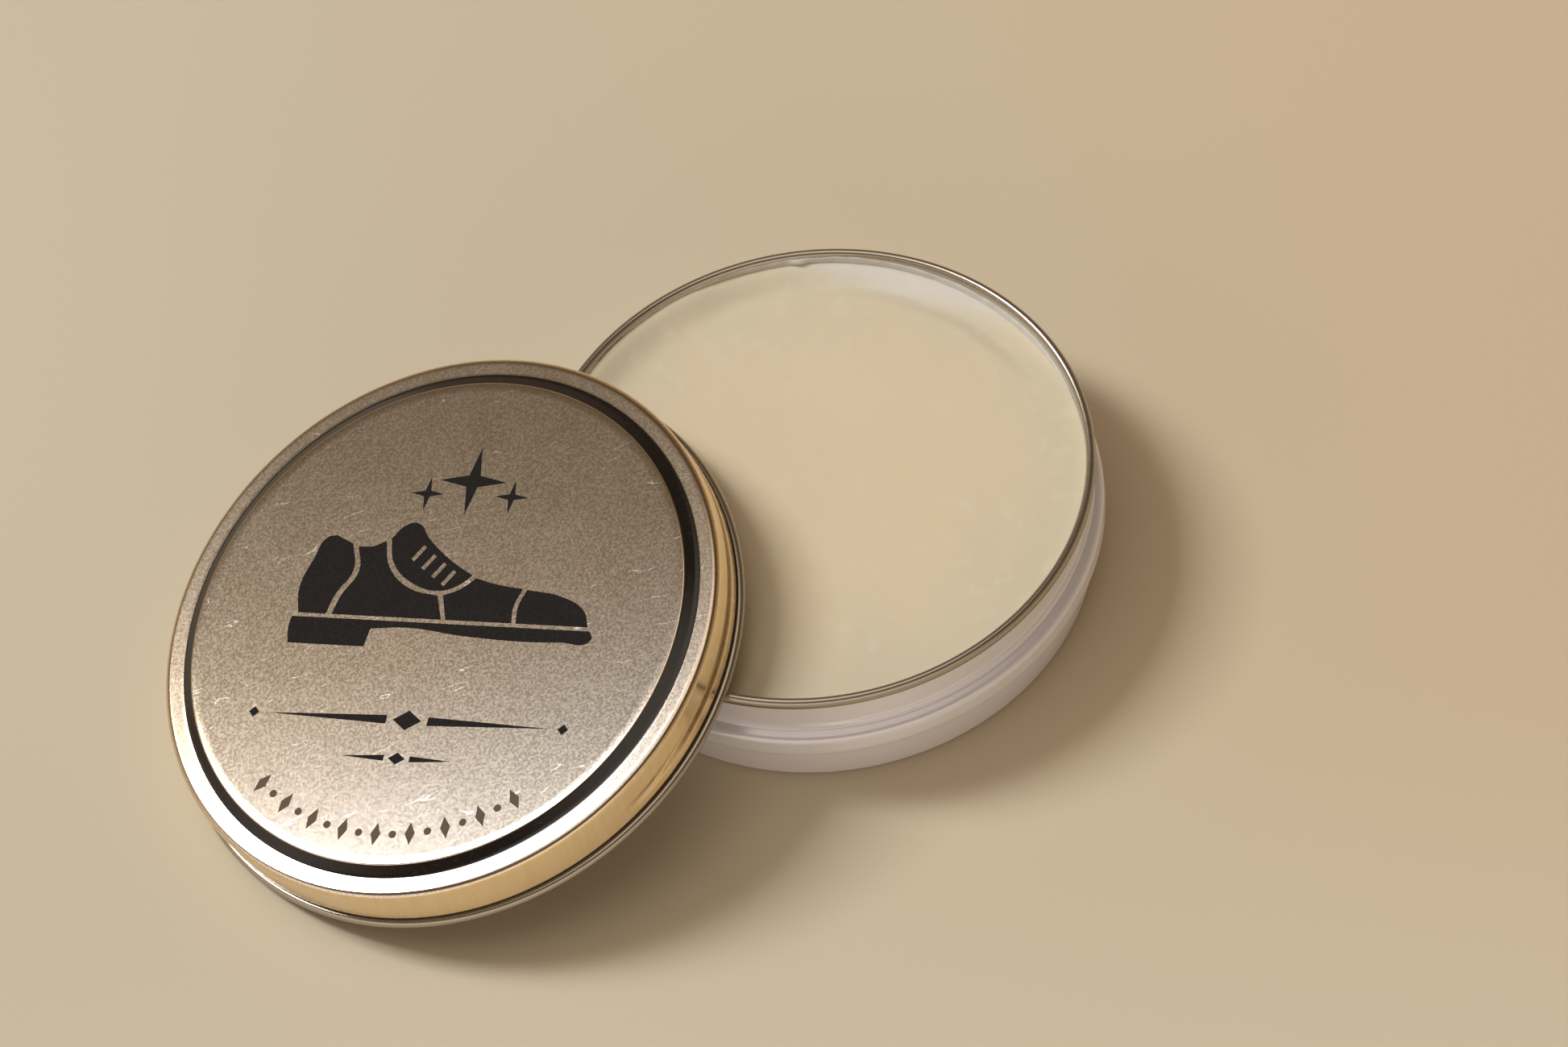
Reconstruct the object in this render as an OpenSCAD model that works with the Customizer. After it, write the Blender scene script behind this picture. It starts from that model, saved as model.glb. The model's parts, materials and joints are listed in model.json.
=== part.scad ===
// Shoe polish tin: a drawn can of wax polish with its screw lid lifted off and leaning on the rim.
// Origin at the centre of the can's foot, +Z up. The lid leans on the -X side.

/* [Can] */
// Height of the can, from the foot to the top of the rim curl
can_h = 19.6; // [16:0.1:26]
// Radius to the middle of the rim curl
rim_r = 38.7; // [34:0.1:44]
// Radius of the rolled curls on the can and the lid
curl_r = 0.7; // [0.5:0.05:0.9]
// Thickness of the drawn sheet
sheet_t = 0.3; // [0.2:0.05:0.4]
// How far the neck stands in from the middle of the rim curl
neck_in = 0.3; // [0.2:0.05:0.5]
// How far the shoulder stands out past the middle of the rim curl
shoulder_out = 1.2; // [0.6:0.05:1.6]
// How far the foot stands in from the middle of the rim curl
foot_in = 0.9; // [0.6:0.1:2]
// Height of the crease between the shoulder and the tapered lower wall
crease_z = 7.3; // [6:0.1:9]
// Radius of the corner between the lower wall and the foot
foot_round = 0.8; // [0.4:0.1:1.5]
// Width of the foot ring
foot_w = 2.4; // [1.5:0.1:4]
// Height that the bottom panel is raised inside the foot ring
panel_lift = 0.7; // [0.4:0.1:1.2]

/* [Thread] */
// Height of the middle of the rolled thread on the can's neck
can_thread_z = 12.8; // [12:0.1:14]
// How far the can's thread stands out of the neck
can_thread_h = 0.45; // [0.3:0.05:0.8]
// Height of the middle of the rolled thread in the lid, above its lower curl
lid_thread_z = 3.9; // [3:0.1:5]
// How far the lid's thread is rolled into the skirt
lid_thread_h = 0.6; // [0.3:0.05:0.8]
// Radius that the threads are rolled to
thread_round = 0.8; // [0.6:0.05:1.2]

/* [Polish] */
// Height of the polish surface above the foot
polish_z = 17; // [12:0.1:18]
// Gap left between the polish and the tin
polish_gap = 0.05; // [0.02:0.01:0.1]

/* [Lid] */
// Height of the lid from its lower curl to the raised panel
lid_h = 9.45; // [8:0.05:12]
// Outer radius of the lid's skirt
skirt_r = 41.8; // [40:0.1:46]
// Rise of the central panel above the flat rim round it
panel_rise = 0.9; // [0.5:0.05:1.2]
// Radius of the raised panel at its top edge
panel_r = 37.2; // [34:0.1:38]
// Width of the slope round the raised panel
slope_w = 1.4; // [0.8:0.1:2]
// Radius of the rounded edge between the flat rim and the skirt
edge_round = 0.9; // [0.5:0.05:1.2]

/* [Liner] */
// Thickness of the sealing disc inside the lid
liner_t = 1; // [0.6:0.1:1.5]
// Gap between the sealing disc and the lid, so that the lid turns round it
liner_gap = 0.1; // [0.05:0.01:0.2]
// How far the sealing disc stands in from the inside of the skirt
liner_in = 1.2; // [1:0.1:3]

/* [Pose] */
// Angle that the lid leans at, off the level
lean = 15.9; // [14:0.1:18]
// Direction that the lid lies in from the can, turning from +X towards +Y
lean_dir = 193.5; // [180:0.5:210]
// Clearance between the lid and what it leans on
rest_gap = 0.05; // [0.02:0.01:0.2]

/* [Hidden] */
$fn = 96;
arc_steps = 6;                                // straight pieces in a rounded corner

// Can profile
rim_z = can_h - curl_r;                       // middle of the rim curl
neck_r = rim_r - neck_in;                     // outside of the neck
shoulder_r = rim_r + shoulder_out;            // widest part of the can
foot_r = rim_r - foot_in;                     // lower wall at the foot
shoulder_round = 1.2;                         // corner at the top of the shoulder
crease_step = 0.5;                            // how far the shoulder stands out past the lower wall
crease_rise = 0.8;                            // height of the slope over the crease
groove_h = 0.4;                               // flat between the shoulder and the thread
shoulder_z = can_thread_z - thread_round - groove_h;

// Lid profile, with z = 0 at the underside of its lower curl
flat_z = lid_h - panel_rise;                  // flat rim round the raised panel
liner_z = flat_z - sheet_t - liner_gap - liner_t;
liner_r = skirt_r - sheet_t - liner_in;

// Resting pose: the lid's curl touches the ground, and crosses the can's rim on a chord
chord_u = (can_h + rest_gap) / sin(lean) - skirt_r;   // from the lid's middle to the chord
chord_w = sqrt(pow(skirt_r, 2) - pow(chord_u, 2));    // half the chord
lid_out = chord_u * cos(lean) + sqrt(pow(rim_r, 2) - pow(chord_w, 2));
lid_up = skirt_r * sin(lean) + rest_gap;

// Points round an arc about [x, z], from angle a to angle b
function arc(x, z, r, a, b) =
    [for (i = [0:arc_steps]) let (t = a + (b - a) * i / arc_steps) [x + r * cos(t), z + r * sin(t)]];

// Points of a rolled bead that stands h out of a wall at radius x, going from z - to z +
function bead(x, z, h, r) =
    let (open = acos((r - h) / r)) arc(x + h - r, z, r, -open, open);

// The same for a bead that stands in from the wall
function groove(x, z, h, r) =
    let (open = acos((r - h) / r)) arc(x - h + r, z, r, 180 + open, 180 - open);

// Side of the can up to the rim, set in by g from its outside, as [radius, height] points
function can_side(g) = concat(
    [[0, panel_lift + g], [foot_r - foot_w - panel_lift, panel_lift + g], [foot_r - foot_w + g, g]],
    arc(foot_r - foot_round, foot_round, foot_round - g, -90, 0),
    [[shoulder_r - crease_step - g, crease_z], [shoulder_r - g, crease_z + crease_rise]],
    arc(shoulder_r - shoulder_round, shoulder_z - shoulder_round, shoulder_round - g, 0, 60),
    [[neck_r - g, shoulder_z + groove_h / 2]],
    bead(neck_r - g, can_thread_z, can_thread_h, thread_round));

// Inside or outside of the lid, set in by g from its outside
function lid_side(g) = concat(
    groove(skirt_r - g, lid_thread_z, lid_thread_h, thread_round + g),
    arc(skirt_r - edge_round, flat_z - edge_round, edge_round - g, 0, 90),
    [[panel_r + slope_w, flat_z - g], [panel_r, lid_h - g], [0, lid_h - g]]);

// A rolled curl whose middle is at radius r
module curl(r, z) {
    rotate_extrude() translate([r, z]) circle(r = curl_r);
}

// Puts a lid part, drawn with its curl at z = 0, where the lid leans on the can
module leaning() {
    rotate(lean_dir)
        translate([lid_out, 0, lid_up])
            rotate([0, lean, 0])
                children();
}

// Drawn can with a raised bottom panel, a shoulder, a rolled thread and a curled rim
module can_body() {
    color([0.86, 0.84, 0.87])
    difference() {
        union() {
            rotate_extrude() polygon(concat(can_side(0), [[neck_r, rim_z], [0, rim_z]]));
            curl(rim_r, rim_z);
        }
        rotate_extrude() polygon(concat(can_side(sheet_t), [[neck_r - sheet_t, can_h], [0, can_h]]));
    }
}

// Solid wax, filling the can to a little under the rim
module polish() {
    wall = sheet_t + polish_gap;
    color([0.87, 0.8, 0.68])
    rotate_extrude() polygon(concat(can_side(wall), [[neck_r - wall, polish_z], [0, polish_z]]));
}

// Drawn lid with a raised panel, a thread rolled into its skirt and a curled lower edge
module lid_shell() {
    color([0.72, 0.62, 0.48])
    leaning()
    difference() {
        union() {
            rotate_extrude() polygon(concat([[0, curl_r], [skirt_r, curl_r]], lid_side(0)));
            curl(skirt_r, curl_r);
        }
        rotate_extrude() polygon(concat([[0, 0], [skirt_r - sheet_t, 0]], lid_side(sheet_t)));
    }
}

// Loose sealing disc under the lid's flat rim
module lid_liner() {
    color([0.9, 0.88, 0.82])
    leaning()
    translate([0, 0, liner_z]) cylinder(r = liner_r, h = liner_t);
}

can_body();
polish();
lid_shell();
lid_liner();
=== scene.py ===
"""Looks for the shoe polish tin: an open can of cream wax, and its gold lid leaning on the rim."""

import json
import math

import bpy
import bmesh
from mathutils import Matrix, Vector, noise


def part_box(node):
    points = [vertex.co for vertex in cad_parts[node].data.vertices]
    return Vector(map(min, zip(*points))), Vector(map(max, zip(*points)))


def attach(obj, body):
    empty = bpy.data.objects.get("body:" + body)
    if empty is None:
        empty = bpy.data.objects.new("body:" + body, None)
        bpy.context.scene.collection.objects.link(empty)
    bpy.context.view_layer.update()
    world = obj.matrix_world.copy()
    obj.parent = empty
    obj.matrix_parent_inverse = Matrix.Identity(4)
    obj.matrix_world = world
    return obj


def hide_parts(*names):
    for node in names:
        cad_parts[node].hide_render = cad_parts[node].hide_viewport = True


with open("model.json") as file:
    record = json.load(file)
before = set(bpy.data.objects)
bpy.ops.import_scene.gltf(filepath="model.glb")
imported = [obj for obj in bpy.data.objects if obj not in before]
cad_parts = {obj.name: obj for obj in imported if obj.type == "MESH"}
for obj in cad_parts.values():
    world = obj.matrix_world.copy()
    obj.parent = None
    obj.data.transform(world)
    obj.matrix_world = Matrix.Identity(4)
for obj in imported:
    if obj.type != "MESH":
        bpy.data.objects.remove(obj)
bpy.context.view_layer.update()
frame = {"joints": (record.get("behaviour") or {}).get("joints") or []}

MM = 0.001
TURN = 2 * math.pi
AROUND = 360                    # steps round each turned piece

# Can, in mm above its foot
CAN_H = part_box("can_body")[1].z / MM
RIM_R = 38.7                    # middle of the rim curl
NECK_R = 38.35
SHEET = 0.3
SHOULDER_R = 39.88
FOOT_R = 37.8
CURL_R = 0.7
CURL_RISE = 0.9                 # half the height of the can's rim curl
PANEL_LIFT = 0.7

# Wax, in mm
WAX_TOP = 16.9
WAX_R = NECK_R - SHEET - 0.03
DIP_FROM = math.radians(14)     # stretch of the far side where the wax dips
DIP_TO = math.radians(112)
FILM_FROM = math.radians(4)     # stretch of the far wall that wax has been smeared on
FILM_TO = math.radians(172)
FILM_FOOT = 15.6                # bottom of the smear, under the wax
FILM_END = 16.4                 # its top where it runs out at either end

# Lid, in mm above the underside of its lower curl
LID_H = 9.45
LID_FLAT = 8.55                 # rim round the raised panel
LID_EDGE = 8.53                 # the same rim at its outer edge, where it dips a little
SKIRT_R = 41.72
PANEL_R = 37.2
SLOPE_R = 38.75                 # foot of the black slope
SLOPE_SHIFT = 0.22              # how far the foot is off centre
SKIRT_EDGE = 1.0                # radius of the edge between the flat rim and the skirt
CURL_MIDDLE = 41.8
LINER_R = 40.2
LINER_T = 1.0
LINER_Z = LID_FLAT - SHEET - 0.1 - LINER_T
LINER_PRESS = 0.16              # depth of the ring that the can's rim has pressed

# Threads, in mm and radians
PITCH = 2.4
CAN_THREAD = dict(z=12.65, start=math.radians(-112), turn=math.radians(300), height=0.45, half=0.75)
LID_THREAD = dict(z=3.9, start=math.radians(-62), turn=math.radians(250), height=-0.6, half=0.95)
THREAD_FADE = math.radians(24)

# Where the lid leans, from the frame's own joint
spin = next(joint for joint in frame["joints"] if joint["name"] == "lid_spin")
LID_AXIS = Vector(spin["axis"]).normalized()
LID_TILT = Vector((0, 0, 1)).rotation_difference(LID_AXIS).to_matrix().to_4x4()
LID_PLACE = Matrix.Translation(Vector(spin["pos_m"])) @ LID_TILT
PRINT_TURN = math.radians(-25)  # the print's own right, in the lid's plane

# Camera, in mm and degrees
CAMERA_AT = Vector((-5.41, -605.7, 825.8))
CAMERA_PITCH = 53.45            # below the level
CAMERA_ROLL = -11.33
LENS = 166.5
SENSOR = 36


# ---------------------------------------------------------------- shapes

def smoothstep(low, high, value):
    t = min(1.0, max(0.0, (value - low) / (high - low)))
    return t * t * (3 - 2 * t)


def arc(x, z, across, up, start, end, steps=8):
    """Points round an ellipse's arc, in degrees."""
    angles = [math.radians(start + (end - start) * i / steps) for i in range(steps + 1)]
    return [(x + across * math.cos(a), z + up * math.sin(a)) for a in angles]


def run(points, finish, step=0.6):
    """A stretch of profile in one finish, with its straight parts cut into short steps."""
    out = [points[0]]
    for (x0, z0), (x1, z1) in zip(points, points[1:]):
        count = max(1, math.ceil(math.hypot(x1 - x0, z1 - z0) / step))
        out += [(x0 + (x1 - x0) * i / count, z0 + (z1 - z0) * i / count) for i in range(1, count + 1)]
    return [(x, z, finish) for x, z in out]


def profile(*runs):
    """Joins stretches of profile end to end, leaving out repeated points."""
    out = []
    for points in runs:
        for x, z, finish in points:
            if out and math.hypot(out[-1][0] - x, out[-1][1] - z) < 1e-6:
                out[-1] = (x, z, finish)
            else:
                out.append((x, z, finish))
    return out


def finish_mesh(name, bm, materials, place=None):
    """Turns a bmesh in mm into an object in metres, with smooth shading."""
    bmesh.ops.recalc_face_normals(bm, faces=bm.faces)
    bmesh.ops.scale(bm, vec=(MM, MM, MM), verts=bm.verts)
    if place is not None:
        bmesh.ops.transform(bm, matrix=place, verts=bm.verts)
    mesh = bpy.data.meshes.new(name)
    bm.to_mesh(mesh)
    bm.free()
    for material in materials:
        mesh.materials.append(material)
    mesh.shade_smooth()
    obj = bpy.data.objects.new(name, mesh)
    bpy.context.scene.collection.objects.link(obj)
    return obj


def lathe(name, points, materials, move=None, place=None):
    """A closed solid turned from a profile that starts and ends on the axis. move shifts each point."""
    bm = bmesh.new()
    rings = []
    for x, z, finish in points:
        if x < 1e-9:
            x1, z1 = move(0.0, z, 0.0) if move else (0.0, z)
            rings.append([bm.verts.new((0, 0, z1))])
            continue
        ring = []
        for i in range(AROUND):
            angle = TURN * i / AROUND
            x1, z1 = move(x, z, angle) if move else (x, z)
            ring.append(bm.verts.new((x1 * math.cos(angle), x1 * math.sin(angle), z1)))
        rings.append(ring)
    for (lower, upper), (_, _, finish) in zip(zip(rings, rings[1:]), points):
        for i in range(AROUND):
            j = (i + 1) % AROUND
            if len(lower) == 1:
                face = bm.faces.new((lower[0], upper[i], upper[j]))
            elif len(upper) == 1:
                face = bm.faces.new((lower[i], lower[j], upper[0]))
            else:
                face = bm.faces.new((lower[i], lower[j], upper[j], upper[i]))
            face.material_index = finish
    return finish_mesh(name, bm, materials, place)


def thread_shift(thread, z, angle):
    """How far a rolled thread moves the sheet in or out at a height and angle."""
    along = (angle - thread["start"]) % TURN
    shift = 0.0
    if along < thread["turn"]:
        fade = smoothstep(0, THREAD_FADE, along) * smoothstep(0, THREAD_FADE, thread["turn"] - along)
        off = abs(z - thread["z"] - PITCH * along / TURN) / thread["half"]
        shift = thread["height"] * fade * (0.5 + 0.5 * math.cos(math.pi * min(1.0, off)))
    return shift


# ---------------------------------------------------------------- materials

def nodes_of(name):
    """A new material, with its node tree and its shader."""
    material = bpy.data.materials.new(name)
    material.use_nodes = True
    tree = material.node_tree
    return material, tree, tree.nodes["Principled BSDF"]


def coordinates(tree, scale=(1, 1, 1), turn=0.0):
    """Object coordinates, stretched and turned."""
    source = tree.nodes.new("ShaderNodeTexCoord")
    mapping = tree.nodes.new("ShaderNodeMapping")
    mapping.inputs["Rotation"].default_value = (0, 0, turn)
    mapping.inputs["Scale"].default_value = scale
    tree.links.new(source.outputs["Object"], mapping.inputs["Vector"])
    return mapping.outputs["Vector"]


def axes(tree):
    """Object coordinates as separate x, y and z outputs."""
    apart = tree.nodes.new("ShaderNodeSeparateXYZ")
    tree.links.new(coordinates(tree), apart.inputs[0])
    return apart.outputs


def noise_field(tree, vector, scale, detail=4.0, rough=0.5):
    field = tree.nodes.new("ShaderNodeTexNoise")
    field.inputs["Scale"].default_value = scale
    field.inputs["Detail"].default_value = detail
    field.inputs["Roughness"].default_value = rough
    tree.links.new(vector, field.inputs["Vector"])
    return field.outputs["Fac"]


def spread(tree, value, low, high, to_low=0.0, to_high=1.0):
    """Maps a value from one range to another, held at the ends."""
    node = tree.nodes.new("ShaderNodeMapRange")
    node.interpolation_type = "SMOOTHSTEP"
    for socket, number in zip(("From Min", "From Max", "To Min", "To Max"), (low, high, to_low, to_high)):
        node.inputs[socket].default_value = number
    tree.links.new(value, node.inputs["Value"])
    return node.outputs["Result"]


def vary(tree, field, low=0.0, high=1.0):
    """Maps the middle of a noise field's range to low and high."""
    return spread(tree, field, 0.3, 0.7, low, high)


def blend_colour(tree, factor, first, second):
    """Mixes two colours, each a tuple or another node's output."""
    node = tree.nodes.new("ShaderNodeMix")
    node.data_type = "RGBA"
    tree.links.new(factor, node.inputs[0])
    for socket, colour in ((node.inputs[6], first), (node.inputs[7], second)):
        if isinstance(colour, tuple):
            socket.default_value = (*colour, 1)
        else:
            tree.links.new(colour, socket)
    return node.outputs[2]


def combine(tree, operation, first, second):
    node = tree.nodes.new("ShaderNodeMath")
    node.operation = operation
    for socket, value in zip(node.inputs, (first, second)):
        if isinstance(value, (int, float)):
            socket.default_value = value
        else:
            tree.links.new(value, socket)
    return node.outputs[0]


def centred(tree, field, amount):
    """A noise field moved to swing about zero, and scaled."""
    return combine(tree, "MULTIPLY", combine(tree, "SUBTRACT", field, 0.5), amount)


def paint(tree, shader, colour, roughness, metallic=0.0):
    """Gives the shader its colour, its roughness and how metallic it is."""
    tree.links.new(colour, shader.inputs["Base Color"])
    tree.links.new(roughness, shader.inputs["Roughness"])
    shader.inputs["Metallic"].default_value = metallic


def make_waxy(shader, weight, radius, scale):
    """Lets light into the surface a little, as wax does."""
    shader.inputs["Subsurface Weight"].default_value = weight
    shader.inputs["Subsurface Radius"].default_value = radius
    shader.inputs["Subsurface Scale"].default_value = scale


def bump(tree, shader, height, distance, strength):
    node = tree.nodes.new("ShaderNodeBump")
    node.inputs["Strength"].default_value = strength
    node.inputs["Distance"].default_value = distance
    tree.links.new(height, node.inputs["Height"])
    tree.links.new(node.outputs["Normal"], shader.inputs["Normal"])


def scratches(tree, scale, width, turns):
    """Sparse hairline scratches in several directions, 1 on a scratch and 0 off it."""
    total = None
    for turn in turns:
        stretched = coordinates(tree, (scale * 0.03, scale, scale), turn)
        along = noise_field(tree, stretched, 1.0, 1.0, 0.4)
        patches = coordinates(tree, (scale * 0.16, scale * 0.9, scale), turn + 0.02)
        broken = noise_field(tree, patches, 1.0, 0.0)
        off = combine(tree, "ABSOLUTE", combine(tree, "SUBTRACT", along, 0.5), 0.0)
        line = spread(tree, off, 0.0, width, 1.0, 0.0)
        line = combine(tree, "MULTIPLY", line, spread(tree, broken, 0.74, 0.78))
        total = line if total is None else combine(tree, "MAXIMUM", total, line)
    return total


def gold_satin(name, smooth, rough, pale):
    """Champagne satin lacquer on tinplate, turning to the pale colour towards the viewer's side: a painted
    reflection of the bright light that the lid's near part mirrors.
    """
    material, tree, shader = nodes_of(name)
    grain = noise_field(tree, coordinates(tree), 2600, 1.0, 0.6)
    stains = noise_field(tree, coordinates(tree), 120, 5.0)
    marks = scratches(tree, 500, 0.012, (0.4, 1.2, 1.9, 2.7))
    colour = blend_colour(tree, vary(tree, stains), (0.78, 0.64, 0.47), (0.84, 0.70, 0.53))
    # Painted reflection: the lacquer pales towards the viewer's side (-y), where the lid mirrors bright
    # light.
    front_reflection = spread(tree, axes(tree)[1], -0.01, -0.05)
    colour = blend_colour(tree, front_reflection, colour, pale)
    colour = blend_colour(tree, spread(tree, grain, 0.34, 0.66, 0.0, 0.42), colour, (0.52, 0.42, 0.31))
    colour = blend_colour(tree, combine(tree, "MULTIPLY", marks, 0.7), colour, (1.0, 0.95, 0.86))
    duller = combine(tree, "MULTIPLY", marks, 0.03)
    paint(tree, shader, colour, combine(tree, "ADD", vary(tree, grain, smooth, rough), duller), 1.0)
    bump(tree, shader, grain, 0.000002, 0.35)
    return material


def gold_gloss():
    """Deeper yellow gold on the drawn skirt, polished by the drawing die."""
    material, tree, shader = nodes_of("gold_gloss")
    drawn = noise_field(tree, coordinates(tree, (1, 1, 0.15)), 900, 3.0, 0.6)
    colour = blend_colour(tree, vary(tree, drawn), (0.88, 0.68, 0.40), (0.93, 0.76, 0.50))
    paint(tree, shader, colour, vary(tree, drawn, 0.18, 0.27), 1.0)
    bump(tree, shader, drawn, 0.000006, 0.4)
    return material


def black_gloss():
    """Black lacquer on the slope round the panel."""
    material, tree, shader = nodes_of("black_gloss")
    dust = noise_field(tree, coordinates(tree), 1500, 4.0, 0.6)
    dusty = spread(tree, dust, 0.55, 0.8)
    colour = blend_colour(tree, dusty, (0.012, 0.009, 0.008), (0.03, 0.024, 0.02))
    paint(tree, shader, colour, vary(tree, dust, 0.09, 0.15))
    return material


def black_seam():
    """The near-black seam in the crevice between the skirt and its curl, mottled a little."""
    material, tree, shader = nodes_of("black_seam")
    seam_mottle = noise_field(tree, coordinates(tree), 700, 3.0)
    colour = blend_colour(tree, seam_mottle, (0.012, 0.01, 0.008), (0.03, 0.022, 0.015))
    tree.links.new(colour, shader.inputs["Base Color"])
    shader.inputs["Roughness"].default_value = 0.6
    return material


def bare_tin():
    """Bare rolled tinplate on the curls, with a few worn specks."""
    material, tree, shader = nodes_of("bare_tin")
    wear = noise_field(tree, coordinates(tree), 1200, 4.0, 0.65)
    colour = blend_colour(tree, spread(tree, wear, 0.74, 0.8), (0.45, 0.41, 0.35), (0.30, 0.24, 0.18))
    paint(tree, shader, colour, vary(tree, wear, 0.25, 0.28), 1.0)
    bump(tree, shader, wear, 0.000001, 0.2)
    return material


def pale_lacquer():
    """Smooth pale silvery lacquer over tin, with a cool cast that drifts a little."""
    material, tree, shader = nodes_of("pale_lacquer")
    cast = noise_field(tree, coordinates(tree), 22, 0.0)
    colour = blend_colour(tree, spread(tree, cast, 0.1, 0.9), (0.87, 0.875, 0.96), (0.91, 0.91, 0.985))
    paint(tree, shader, colour, spread(tree, cast, 0.1, 0.9, 0.24, 0.28), 0.25)
    return material


def inner_lacquer():
    """Grey epoxy lacquer inside the can."""
    material, tree, shader = nodes_of("inner_lacquer")
    film = noise_field(tree, coordinates(tree, (1, 1, 0.4)), 300, 4.0)
    colour = blend_colour(tree, film, (0.46, 0.43, 0.38), (0.60, 0.57, 0.52))
    paint(tree, shader, colour, vary(tree, film, 0.25, 0.4), 0.5)
    return material


def gold_inside():
    """Pale gold lacquer inside the lid."""
    material, tree, shader = nodes_of("gold_inside")
    film = noise_field(tree, coordinates(tree), 260, 4.0)
    colour = blend_colour(tree, film, (0.78, 0.62, 0.38), (0.86, 0.70, 0.46))
    paint(tree, shader, colour, vary(tree, film, 0.28, 0.42), 0.8)
    return material


def cream_wax():
    """Cream wax: peach and mottled in the middle, paler at the edge, whitest beside the far wall."""
    material, tree, shader = nodes_of("cream_wax")
    place = coordinates(tree)
    x, y, _ = axes(tree)
    flat = tree.nodes.new("ShaderNodeVectorMath")
    flat.operation = "MULTIPLY"
    flat.inputs[1].default_value = (1, 1, 0)
    tree.links.new(place, flat.inputs[0])
    length = tree.nodes.new("ShaderNodeVectorMath")
    length.operation = "LENGTH"
    tree.links.new(flat.outputs[0], length.inputs[0])
    cloud = noise_field(tree, place, 90, 4.0, 0.55)
    blotch = noise_field(tree, place, 260, 3.0, 0.6)
    radius = combine(tree, "ADD", length.outputs["Value"], centred(tree, cloud, 0.03))
    colour = blend_colour(tree, spread(tree, radius, 0.018, 0.036), (0.77, 0.67, 0.48), (0.70, 0.64, 0.48))
    colour = blend_colour(tree, spread(tree, blotch, 0.56, 0.72, 0.0, 0.5), colour, (0.76, 0.70, 0.55))
    far = combine(tree, "ADD", combine(tree, "MULTIPLY", x, 0.5), combine(tree, "MULTIPLY", y, 0.866))
    edge = combine(tree, "ADD", far, centred(tree, blotch, 0.004))
    colour = blend_colour(tree, spread(tree, edge, 0.0315, 0.037), colour, (0.70, 0.68, 0.62))
    paint(tree, shader, colour, vary(tree, cloud, 0.34, 0.46))
    make_waxy(shader, 0.35, (1.0, 0.7, 0.4), 0.0015)
    cuts = combine(tree, "MULTIPLY", scratches(tree, 260, 0.012, (0.2, 1.4)), -0.15)
    bump(tree, shader, combine(tree, "ADD", combine(tree, "MULTIPLY", cloud, 0.6), cuts), 0.0002, 0.35)
    return material


def pale_film():
    """Thin wax smeared on the can's wall: whitish where it was scraped, cream towards the left."""
    material, tree, shader = nodes_of("pale_film")
    smear = noise_field(tree, coordinates(tree, (1, 1, 0.5)), 260, 4.0)
    pale = blend_colour(tree, smear, (0.66, 0.645, 0.60), (0.76, 0.745, 0.70))
    colour = blend_colour(tree, spread(tree, axes(tree)[0], 0.004, -0.012), pale, (0.68, 0.62, 0.48))
    paint(tree, shader, colour, vary(tree, smear, 0.35, 0.5))
    make_waxy(shader, 0.3, (1.0, 0.8, 0.6), 0.001)
    bump(tree, shader, smear, 0.0001, 0.3)
    return material


def ink(name, dark, light):
    """Printed ink, slightly broken by the grain of the metal under it."""
    material, tree, shader = nodes_of(name)
    grain = noise_field(tree, coordinates(tree), 2600, 3.0, 0.6)
    colour = blend_colour(tree, spread(tree, grain, 0.55, 0.75, 0.0, 0.5), dark, light)
    paint(tree, shader, colour, vary(tree, grain, 0.4, 0.55))
    shader.inputs["Specular IOR Level"].default_value = 0.06
    return material


def liner_card():
    """Off-white sealing card with fine fibres."""
    material, tree, shader = nodes_of("liner_card")
    fibre = noise_field(tree, coordinates(tree, (1, 0.3, 1), 0.5), 900, 4.0, 0.6)
    colour = blend_colour(tree, fibre, (0.72, 0.69, 0.60), (0.84, 0.81, 0.73))
    tree.links.new(colour, shader.inputs["Base Color"])
    shader.inputs["Roughness"].default_value = 0.75
    bump(tree, shader, fibre, 0.0001, 0.5)
    return material


def paper():
    """Beige paper under the tin, with painted light: warmer to the right, standing in for warm light from
    that side, and paler towards the viewer as painted brightening.
    """
    material, tree, shader = nodes_of("paper")
    fibre = noise_field(tree, coordinates(tree), 900, 5.0, 0.6)
    broad = noise_field(tree, coordinates(tree), 4, 2.0)
    x, y, _ = axes(tree)
    colour = blend_colour(tree, vary(tree, broad), (0.61, 0.555, 0.425), (0.64, 0.58, 0.445))
    # Painted light: a warmer tint to the right, standing in for a warm light from that side.
    colour = blend_colour(tree, spread(tree, x, -0.12, 0.16), colour, (0.66, 0.545, 0.375))
    # Painted light: the paper turns paler towards the viewer, where the floor is more brightly lit.
    colour = blend_colour(tree, spread(tree, y, -0.03, -0.12, 0.0, 0.5), colour, (0.74, 0.67, 0.54))
    tree.links.new(colour, shader.inputs["Base Color"])
    shader.inputs["Roughness"].default_value = 0.8
    shader.inputs["Specular IOR Level"].default_value = 0.25
    bump(tree, shader, fibre, 0.0001, 0.12)
    return material


# ---------------------------------------------------------------- the can and its wax

def can_side(inset):
    """The can's foot and side up to the neck, set in from its outside."""
    points = [(0, PANEL_LIFT + inset), (34.2, PANEL_LIFT + inset), (34.7, PANEL_LIFT - 0.08 + inset)]
    points += [(35.3 + inset * 0.6, 0.1 + inset), (35.7 + inset * 0.4, inset)]
    points += arc(FOOT_R - 0.8, 0.8, 0.8 - inset, 0.8 - inset, -90, 0, 6)
    points += [(39.2 - inset, 7.0), (39.3 - inset, 7.25), (39.62 - inset, 7.62)]
    points += [(SHOULDER_R - 0.06 - inset, 8.1), (SHOULDER_R - inset, 8.7), (SHOULDER_R - inset, 9.9)]
    points += arc(SHOULDER_R - 1.25, 10.2, 1.25 - inset, 1.25 - inset, 0, 68, 8)
    points += [(NECK_R + 0.08 - inset, 11.62), (NECK_R - 0.22 - inset, 11.82), (NECK_R - inset, 12.1)]
    return points


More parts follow.
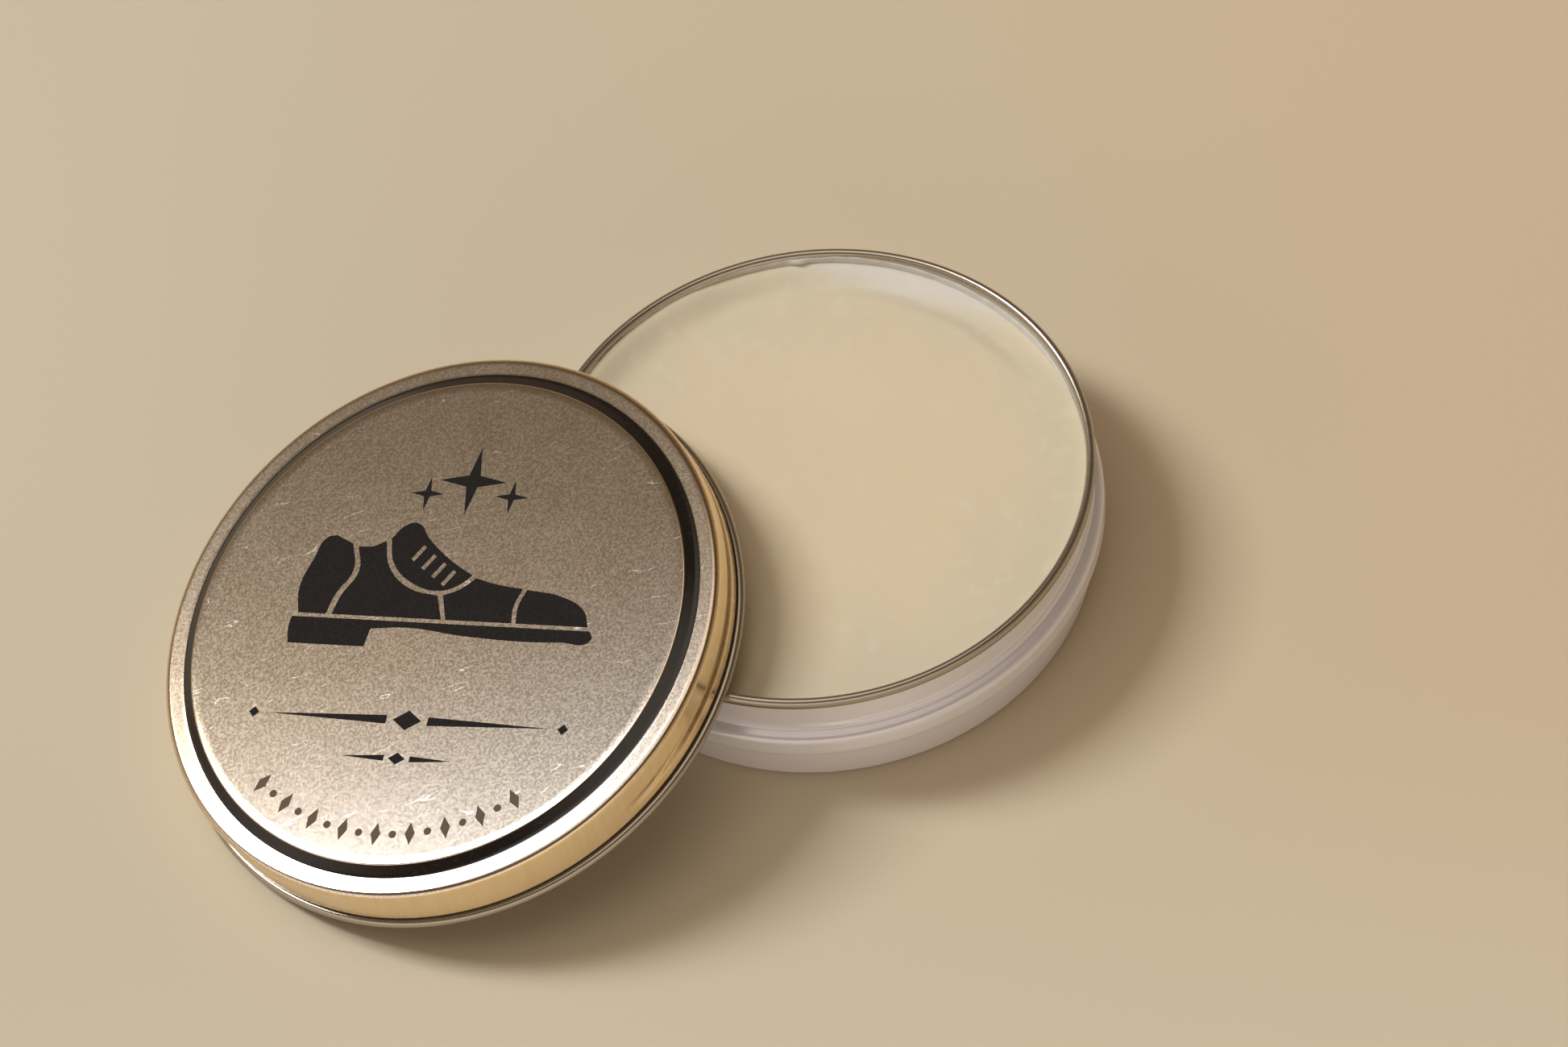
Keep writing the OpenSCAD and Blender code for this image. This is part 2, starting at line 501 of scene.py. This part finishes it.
def build_can(materials):
    """Drawn can: one closed sheet with its thread rolled in and its rim curled over."""
    outer, inner, tin = 0, 1, 2
    outside = run(can_side(0)[:-1], outer)
    neck = run([(NECK_R, 12.1), (NECK_R, 17.75)], outer, 0.12)
    curl_z = CAN_H - CURL_RISE
    rim = run(arc(RIM_R, curl_z, CURL_R, CURL_RISE, -112, 178, 40), tin)
    inside_neck = run([(NECK_R - SHEET, 18.3), (NECK_R - SHEET, 12.1)], inner, 0.12)
    inside = run(list(reversed(can_side(SHEET)[:-1])), inner)

    def move(x, z, angle):
        rolled = 0.0
        if 11.9 < z < 17.7 and x < RIM_R:
            rolled = thread_shift(CAN_THREAD, z, angle)
        return x + rolled, z

    return lathe("can", profile(outside, neck, rim, inside_neck, inside), materials, move)


def turn_between(angle, other):
    """The angle between two directions, at most half a turn."""
    return abs((angle - other + math.pi) % TURN - math.pi)


def dip_depth(angle, x):
    """How far the wax dips beside the far wall, in mm."""
    across = smoothstep(DIP_FROM, DIP_FROM + 0.35, angle) * smoothstep(DIP_TO, DIP_TO - 0.25, angle)
    ragged = 0.8 * noise.noise(Vector((3 * math.cos(angle), 3 * math.sin(angle), 2.0)))
    return 0.45 * across * smoothstep(WAX_R - 6.0 + ragged, WAX_R - 3.5 + ragged, x)


def wax_height(x, angle):
    """Height of the wax surface at a radius and angle, in mm."""
    place = Vector((x * math.cos(angle), x * math.sin(angle), 0))
    height = WAX_TOP + 0.14 * noise.noise(place * 0.06) + 0.03 * noise.noise(place * 0.35)
    front = smoothstep(math.radians(60), 0, turn_between(angle, math.radians(-70)))
    height += 0.35 * front * smoothstep(WAX_R - 9, WAX_R, x)
    height -= dip_depth(angle % TURN, x)
    far = smoothstep(math.radians(110), math.radians(30), turn_between(angle, math.radians(128)))
    height += 1.7 * far * smoothstep(WAX_R - 7, WAX_R, x) ** 2
    return height


def build_wax(materials):
    """Wax fill, following the can's inside, with a hand-worked top."""
    gap = 0.04
    bottom = run(can_side(SHEET + gap)[:-1], 0)
    side = run([(WAX_R, 12.1), (WAX_R, 13.4)], 0, 0.3)
    rows = 110
    top = [(WAX_R * (1 - (i / rows) ** 1.6), WAX_TOP, 0) for i in range(rows + 1)]

    def move(x, z, angle):
        rolled = max(0.0, thread_shift(CAN_THREAD, z, angle)) if x > WAX_R - 0.5 and z < 13.5 else 0.0
        return x + rolled, wax_height(x, angle) if z == WAX_TOP else z

    return lathe("wax", profile(bottom, side, top), materials, move)


def film_top(angle):
    """Height that the smear reaches up the wall at an angle, in mm."""
    place = Vector((math.cos(angle), math.sin(angle), 0))
    top = 18.95 - 1.0 * smoothstep(math.radians(74), math.radians(36), angle)
    top -= 0.9 * smoothstep(math.radians(26), math.radians(10), angle)
    top -= 0.7 * smoothstep(math.radians(6), math.radians(0), abs(angle - math.radians(131)))
    return top + 0.14 * noise.noise(place * 7) + 0.1 * noise.noise(place * 21)


def build_film(materials):
    """A ragged smear of wax up the inside of the far wall, as one thin closed patch."""
    columns, rows = 320, 14
    wall = NECK_R - SHEET - 0.015
    bm = bmesh.new()
    sheets = []
    for back in (False, True):
        sheet = []
        for i in range(columns + 1):
            angle = FILM_FROM + (FILM_TO - FILM_FROM) * i / columns
            ends = smoothstep(0, 0.05, i / columns) * smoothstep(1, 0.95, i / columns)
            place = Vector((math.cos(angle), math.sin(angle), 0))
            top = FILM_END + ends * (film_top(angle) - FILM_END)
            column = []
            for k in range(rows + 1):
                t = k / rows
                z = FILM_FOOT + (top - FILM_FOOT) * t
                lump = 0.1 * noise.noise(place * 30 + Vector((0, 0, z * 0.8)))
                blob = smoothstep(0.045, 0.0, abs(angle - math.radians(84))) * smoothstep(0.6, 0.85, t)
                thick = (0.3 - 0.2 * t + lump + 0.45 * blob) * smoothstep(1.0, 0.93, t) + 0.02
                if back:
                    thick = 0
                column.append(bm.verts.new(place * (wall - thick) + Vector((0, 0, z))))
            sheet.append(column)
        sheets.append(sheet)
    front, behind = sheets
    for i in range(columns):
        for k in range(rows):
            for sheet in sheets:
                bm.faces.new((sheet[i][k], sheet[i + 1][k], sheet[i + 1][k + 1], sheet[i][k + 1]))
        for k in (0, rows):
            bm.faces.new((front[i][k], front[i + 1][k], behind[i + 1][k], behind[i][k]))
    for i in (0, columns):
        for k in range(rows):
            bm.faces.new((front[i][k], front[i][k + 1], behind[i][k + 1], behind[i][k]))
    return finish_mesh("wax_film", bm, materials)


# ---------------------------------------------------------------- the lid

def build_lid(materials):
    """Drawn lid: raised panel, black slope, flat rim, threaded skirt and outward curl, as one sheet."""
    satin, satin_rim, black, gloss, seam, tin, inside = range(7)
    panel = run([(0, LID_H)] + arc(PANEL_R - 0.28, LID_H - 0.25, 0.25, 0.25, 90, 38, 5), satin, 1.2)
    foot = (SLOPE_R + 0.1, LID_FLAT)
    slope = run([(PANEL_R - 0.05, LID_H - 0.12), (SLOPE_R - 0.45, LID_FLAT + 0.17)], black, 0.2)
    slope += run([(SLOPE_R - 0.27, LID_FLAT + 0.08), (SLOPE_R - 0.08, LID_FLAT + 0.02), foot], black, 0.2)
    corner, corner_z, round_in = SKIRT_R - SKIRT_EDGE, LID_EDGE - SKIRT_EDGE, SKIRT_EDGE - SHEET
    flat = run([foot, (corner, LID_EDGE)], satin_rim, 0.4)
    edge = run(arc(corner, corner_z, SKIRT_EDGE, SKIRT_EDGE, 90, 40), satin_rim)
    edge_low = run(arc(corner, corner_z, SKIRT_EDGE, SKIRT_EDGE, 40, 0), gloss)
    skirt = run([(SKIRT_R, corner_z), (SKIRT_R, 2.0), (SKIRT_R - 0.05, 1.86)], gloss, 0.12)
    crack = [(SKIRT_R - 0.05, 1.86), (SKIRT_R - 0.32, 1.7), (SKIRT_R - 0.34, 1.45), (SKIRT_R - 0.15, 1.38)]
    curl = run(arc(CURL_MIDDLE, CURL_R, CURL_R, CURL_R, 106, -178, 40), tin)
    bore = SKIRT_R - SHEET
    inner = run([(bore, 1.2), (bore, corner_z)], inside, 0.12)
    inner += run(arc(corner, corner_z, round_in, round_in, 0, 90), inside)
    ceiling = LID_FLAT - SHEET
    inner += run([(SLOPE_R + 0.4, ceiling), (PANEL_R + 0.1, LID_H - SHEET), (0, LID_H - SHEET)], inside, 1.2)

    def move(x, z, angle):
        rolled = thread_shift(LID_THREAD, z, angle) if x > 41.0 and 2.0 < z < 7.5 else 0.0
        if SLOPE_R - 0.1 < x < SLOPE_R + 0.2 and z > LID_FLAT - 0.05:
            rolled = SLOPE_SHIFT * math.cos(angle + math.radians(15))
        return x + rolled, z

    sheet = profile(panel, slope, flat, edge, edge_low, skirt, run(crack, seam), curl, inner)
    return lathe("lid", sheet, materials, move, LID_PLACE)


def build_liner(materials):
    """Sealing disc, pressed by the can's rim into a shallow ring."""
    low, high, soft = LINER_Z, LINER_Z + LINER_T, 0.2
    pressed = low + LINER_PRESS
    under = [(0, low), (RIM_R - 1.0, low), (RIM_R - 0.6, pressed), (RIM_R + 0.5, pressed), (RIM_R + 0.8, low)]
    edge = arc(LINER_R - soft, low + soft, soft, soft, -90, 0, 4)
    edge += arc(LINER_R - soft, high - soft, soft, soft, 0, 90, 4)
    return lathe("liner", profile(run(under + edge + [(0, high)], 0, 1.5)), materials, None, LID_PLACE)


# ---------------------------------------------------------------- the print on the lid

def print_piece(name, outlines, material):
    """Thin printed shapes on the lid's panel. Outlines are in mm; a point with a third item is a corner."""
    curve = bpy.data.curves.new(name, "CURVE")
    curve.dimensions = "2D"
    curve.fill_mode = "BOTH"
    curve.extrude = 0.012
    curve.resolution_u = 8
    for points in outlines:
        spline = curve.splines.new("BEZIER")
        spline.bezier_points.add(len(points) - 1)
        for knot, point in zip(spline.bezier_points, points):
            knot.co = (point[0], point[1], 0)
            kind = "VECTOR" if len(point) == 3 else "AUTO"
            knot.handle_left_type = knot.handle_right_type = kind
        spline.use_cyclic_u = True
    temporary = bpy.data.objects.new(name + "_curve", curve)
    bpy.context.scene.collection.objects.link(temporary)
    bpy.context.view_layer.update()
    mesh = bpy.data.meshes.new_from_object(temporary.evaluated_get(bpy.context.evaluated_depsgraph_get()))
    bm = bmesh.new()
    bm.from_mesh(mesh)
    bpy.data.objects.remove(temporary)
    bpy.data.curves.remove(curve)
    bpy.data.meshes.remove(mesh)
    bmesh.ops.remove_doubles(bm, verts=bm.verts, dist=0.0005)
    lift = Matrix.Translation((0, 0, (LID_H + 0.008) * MM))
    piece = finish_mesh(name, bm, [material], LID_PLACE @ Matrix.Rotation(PRINT_TURN, 4, "Z") @ lift)
    piece.data.shade_flat()
    return piece


def corners(*points):
    return [(x, y, "c") for x, y in points]


def lozenge(x, y, half_w, half_h, turn=0.0):
    reach = [(half_w, 0), (0, half_h), (-half_w, 0), (0, -half_h)]
    c, s = math.cos(turn), math.sin(turn)
    return corners(*[(x + px * c - py * s, y + px * s + py * c) for px, py in reach])


def sparkle(x, y, size):
    """A plain four-pointed glint."""
    points = []
    for i in range(4):
        for reach, turn in ((size, 0.0), (size * 0.24, math.pi / 4)):
            angle = math.pi / 2 * i + turn
            points.append((x + reach * math.cos(angle), y + reach * math.sin(angle)))
    return corners(*points)


def tapered_rule(x0, x1, y, thick):
    """A rule that is thick at x0 and comes to a point at x1."""
    return corners((x0, y - thick / 2), (x1, y), (x0, y + thick / 2))


def dot(x, y, r):
    return [(x + r * math.cos(a), y + r * math.sin(a)) for a in (TURN * i / 8 for i in range(8))]


def lace(x, y):
    """A slit across the instep, for one lace."""
    along, across = Vector((0.28, -0.18)), Vector((0.7, 1.1))
    middle = Vector((x, y))
    reach = (along + across, across - along, -along - across, along - across)
    return corners(*[tuple(middle + p) for p in reach])


def shoe_outlines():
    """A plain laced shoe from the side, cut into its panels by its seams."""
    heel = [(-21.6, 1.6, "c"), (-22.5, 5.5), (-21.5, 10.0), (-20.4, 13.3), (-18.9, 13.8, "c"),
            (-16.0, 12.6, "c"), (-14.8, 8.5), (-16.6, 4.6), (-17.2, 1.6, "c")]
    quarter = [(-16.3, 1.6, "c"), (-15.6, 4.6), (-13.9, 8.4), (-15.0, 12.2, "c"), (-12.6, 12.4),
               (-10.9, 13.3, "c"), (-9.4, 9.4), (-5.4, 6.2), (-0.6, 5.2, "c"), (0.9, 1.6, "c")]
    tongue = [(-10.2, 13.7, "c"), (-8.4, 15.9), (-6.6, 16.2), (-4.4, 14.0), (0.0, 10.7), (3.9, 8.6, "c"),
              (2.2, 7.0), (-0.5, 6.0), (-5.0, 6.9), (-8.8, 9.9)]
    laces = [lace(-5.3, 11.6), lace(-3.4, 10.3), lace(-1.5, 9.1), lace(0.3, 8.0)]
    vamp = [(1.6, 1.6, "c"), (0.2, 5.3, "c"), (2.6, 6.4), (4.6, 8.2, "c"), (8.0, 7.4), (12.2, 6.9, "c"),
            (11.5, 4.2), (11.8, 1.6, "c")]
    toe = [(12.9, 6.8, "c"), (18.5, 6.0), (22.4, 4.0), (23.6, 1.6, "c"), (12.5, 1.6, "c"), (12.2, 4.2)]
    sole = [(-22.4, 1.0, "c"), (24.1, 1.0, "c"), (24.6, -0.3), (20.0, -0.9), (6.0, -0.8), (-4.0, 0.1),
            (-9.6, -0.3, "c"), (-9.9, -3.1, "c"), (-21.9, -3.1, "c"), (-22.5, -0.6)]
    drop = 1.5
    shoe = [heel, quarter, tongue, vamp, toe, sole] + laces
    return [[(point[0], point[1] - drop, *point[2:]) for point in outline] for outline in shoe]


def build_print(black, bronze):
    """The plain picture and ornaments: glints over a shoe, two rules and a row of beads."""
    glints = [sparkle(0, 21.6, 5.2), sparkle(-6.6, 19.4, 2.6), sparkle(6.6, 19.4, 2.6)]
    long_rule, short_rule = -15.4, -21.2
    rules = [lozenge(0, long_rule, 2.2, 1.5), lozenge(0, short_rule, 1.3, 0.9)]
    for side in (-1, 1):
        rules += [tapered_rule(side * 3.2, side * 22.0, long_rule, 1.3)]
        rules += [tapered_rule(side * 2.0, side * 8.5, short_rule, 0.9)]
        rules += [lozenge(side * 24.0, long_rule, 0.8, 0.8)]
    beads, bead_r = [], 32.6
    for i in range(17):
        angle = math.radians(-90 + 4.6 * (i - 8))
        x, y = bead_r * math.cos(angle), bead_r * math.sin(angle)
        beads.append(dot(x, y, 0.55) if i % 2 else lozenge(x, y, 0.75, 1.7, angle + math.pi / 2))
    return [print_piece("print_glints", glints, black), print_piece("print_shoe", shoe_outlines(), black),
            print_piece("print_rules", rules, black), print_piece("print_beads", beads, bronze)]


# ---------------------------------------------------------------- stage, lights and camera

def build_floor():
    bpy.ops.mesh.primitive_plane_add(size=6)
    floor = bpy.context.object
    floor.name = "floor"
    floor.data.materials.append(paper())


def toward(azimuth, elevation):
    """Unit vector for a direction in degrees."""
    turn, rise = math.radians(azimuth), math.radians(elevation)
    return Vector((math.cos(turn) * math.cos(rise), math.sin(turn) * math.cos(rise), math.sin(rise)))


def softbox(name, azimuth, elevation, distance, width, height, power, colour):
    """An area light aimed at the tin."""
    light = bpy.data.lights.new(name, "AREA")
    light.shape = "RECTANGLE"
    light.size, light.size_y = width, height
    light.energy = power
    light.color = colour
    direction = toward(azimuth, elevation)
    lamp = bpy.data.objects.new(name, light)
    lamp.location = direction * distance
    lamp.rotation_euler = direction.to_track_quat("Z", "Y").to_euler()
    bpy.context.scene.collection.objects.link(lamp)


def facing(tree, view, direction, wide, narrow):
    """1 within narrow degrees of a direction, falling to 0 at wide degrees."""
    node = tree.nodes.new("ShaderNodeVectorMath")
    node.operation = "DOT_PRODUCT"
    node.inputs[1].default_value = direction
    tree.links.new(view, node.inputs[0])
    return spread(tree, node.outputs["Value"], math.cos(math.radians(wide)), math.cos(math.radians(narrow)))


def build_room():
    """A warm room: pale walls, brightest on the viewer's side, a dim ceiling and a lamp's glow overhead."""
    world = bpy.data.worlds.new("room")
    world.use_nodes = True
    tree = world.node_tree
    view = tree.nodes.new("ShaderNodeTexCoord").outputs["Generated"]
    apart = tree.nodes.new("ShaderNodeSeparateXYZ")
    tree.links.new(view, apart.inputs[0])
    bright_side = facing(tree, view, toward(-122, 12), 95, 30)
    walls = blend_colour(tree, bright_side, (0.31, 0.215, 0.13), (1.08, 0.91, 0.77))
    room = blend_colour(tree, spread(tree, apart.outputs[2], 0.3, 0.66), walls, (0.10, 0.07, 0.042))
    overhead = facing(tree, view, toward(160, 84), 34, 14)
    room = blend_colour(tree, overhead, room, (1.1, 0.95, 0.8))
    tree.links.new(room, tree.nodes["Background"].inputs["Color"])
    bpy.context.scene.world = world


def build_lights():
    """One tall window from behind on the left, whose edge grades the lid's reflection, and the room."""
    softbox("window", 151.6, 51, 2.5, 0.5, 1.05, 40, (1.0, 0.99, 0.995))
    build_room()
    bpy.context.scene.view_settings.view_transform = "Standard"


def build_camera():
    """From the front, looking well down, with the camera rolled a little."""
    pitch, roll = math.radians(CAMERA_PITCH), math.radians(CAMERA_ROLL)
    forward = Vector((0, math.cos(pitch), -math.sin(pitch)))
    level = Vector((1, 0, 0))
    upright = level.cross(forward)
    right = level * math.cos(roll) + upright * math.sin(roll)
    up = upright * math.cos(roll) - level * math.sin(roll)
    camera = bpy.data.cameras.new("camera")
    camera.sensor_fit = "HORIZONTAL"
    camera.sensor_width = SENSOR
    camera.lens = LENS
    obj = bpy.data.objects.new("camera", camera)
    turn = Matrix((right, up, -forward)).transposed().to_4x4()
    obj.matrix_world = Matrix.Translation(CAMERA_AT * MM) @ turn
    bpy.context.scene.collection.objects.link(obj)
    bpy.context.scene.camera = obj


# ---------------------------------------------------------------- putting it together

tin, gloss = bare_tin(), gold_gloss()
# The last colour of each is the pale painted reflection on the lid's side towards the viewer.
satin = gold_satin("gold_satin", 0.1, 0.13, (0.88, 0.81, 0.72))
satin_rim = gold_satin("gold_satin_rim", 0.12, 0.15, (0.84, 0.76, 0.67))

can = build_can([pale_lacquer(), inner_lacquer(), tin])
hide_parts("can_body")
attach(can, "can")

wax = build_wax([cream_wax()])
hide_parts("polish")
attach(wax, "can")

film = build_film([pale_film()])
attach(film, "can")

lid = build_lid([satin, satin_rim, black_gloss(), gloss, black_seam(), tin, gold_inside()])
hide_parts("lid_shell")
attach(lid, "lid")

liner = build_liner([liner_card()])
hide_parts("lid_liner")
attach(liner, "liner")

for piece in build_print(ink("black_ink", (0.007, 0.005, 0.004), (0.022, 0.017, 0.013)),
                         ink("bronze_ink", (0.12, 0.09, 0.065), (0.2, 0.16, 0.12))):
    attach(piece, "lid")

build_floor()
build_lights()
build_camera()
